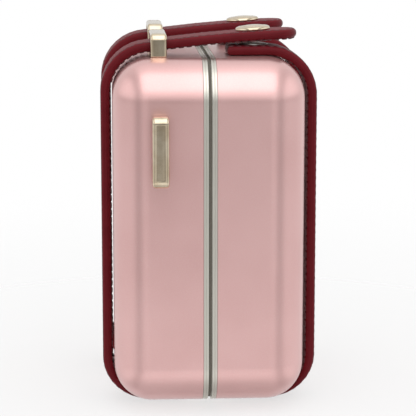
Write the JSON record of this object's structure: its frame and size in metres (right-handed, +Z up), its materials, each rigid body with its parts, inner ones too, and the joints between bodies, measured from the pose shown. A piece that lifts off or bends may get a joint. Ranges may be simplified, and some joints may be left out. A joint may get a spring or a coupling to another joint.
{
  "type": "makeup train case",
  "caption": "Upright hard-shell makeup case with moulded half shells in metal rim frames, a bottom hinge, and leather straps that snap shut over the top.",
  "frame": {"origin": "on the floor, at the middle of the standing case", "axes": "+X along the case, +Y towards the back half, +Z up; the seam lies in the plane Y = 0"},
  "size_m": [0.1918, 0.1251, 0.2225],
  "materials": {
    "shell": "satin metallic rose polycarbonate under a clear coat",
    "rim_metal": "satin anodised",
    "seal": "matte",
    "leather": "smooth burgundy bridle leather with dark burgundy stitching",
    "hardware": "polished pale gold plate",
    "steel": "plain nickel",
    "lining": "short-napped fabric on a moulded liner",
    "elastic": "ribbed elastic",
    "bezel": "pale gold trim",
    "mirror": "silvered glass"
  },
  "bodies": {
    "back_half": {"back_shell": "shell", "back_frame": "rim_metal", "seam_seal": "seal", "back_lining": "lining", "hinge_leaf_back": "steel", "hinge_pin": "steel", "hinge_rivets_back": "steel", "strap_back_left": "leather", "strap_back_right": "leather", "keeper_left": "hardware", "keeper_right": "hardware", "side_bracket_left": "hardware", "side_bracket_right": "hardware", "keeper_screws": "steel", "side_bracket_screws": "steel", "feet_back": "hardware", "foot_washers_back": "steel", "brush_band": "elastic"},
    "front_half": {"front_shell": "shell", "front_frame": "rim_metal", "front_lining": "lining", "hinge_leaf_front": "steel", "hinge_rivets_front": "steel", "strap_front_left": "leather", "strap_front_right": "leather", "snap_stud_left": "steel", "snap_stud_right": "steel", "snap_washers": "steel", "feet_front": "hardware", "foot_washers_front": "steel", "mirror_bezel": "bezel", "mirror_glass": "mirror"},
    "flap_left": {"strap_flap_left": "leather", "snap_cap_left": "hardware", "snap_socket_left": "steel"},
    "flap_right": {"strap_flap_right": "leather", "snap_cap_right": "hardware", "snap_socket_right": "steel"}
  },
  "joints": [
    {"name": "lid_hinge", "type": "hinge", "parent": "back_half", "child": "front_half", "pos_m": [0, 0, 0.0024], "axis": [1, 0, 0], "range_deg": [0, 100]},
    {"name": "flap_left_lift", "type": "hinge", "parent": "back_half", "child": "flap_left", "pos_m": [-0.0385, 0.0203, 0.2121], "axis": [-1, 0, 0], "range_deg": [0, 80]},
    {"name": "flap_right_lift", "type": "hinge", "parent": "back_half", "child": "flap_right", "pos_m": [0.0385, 0.0203, 0.2121], "axis": [-1, 0, 0], "range_deg": [0, 80]}
  ]
}
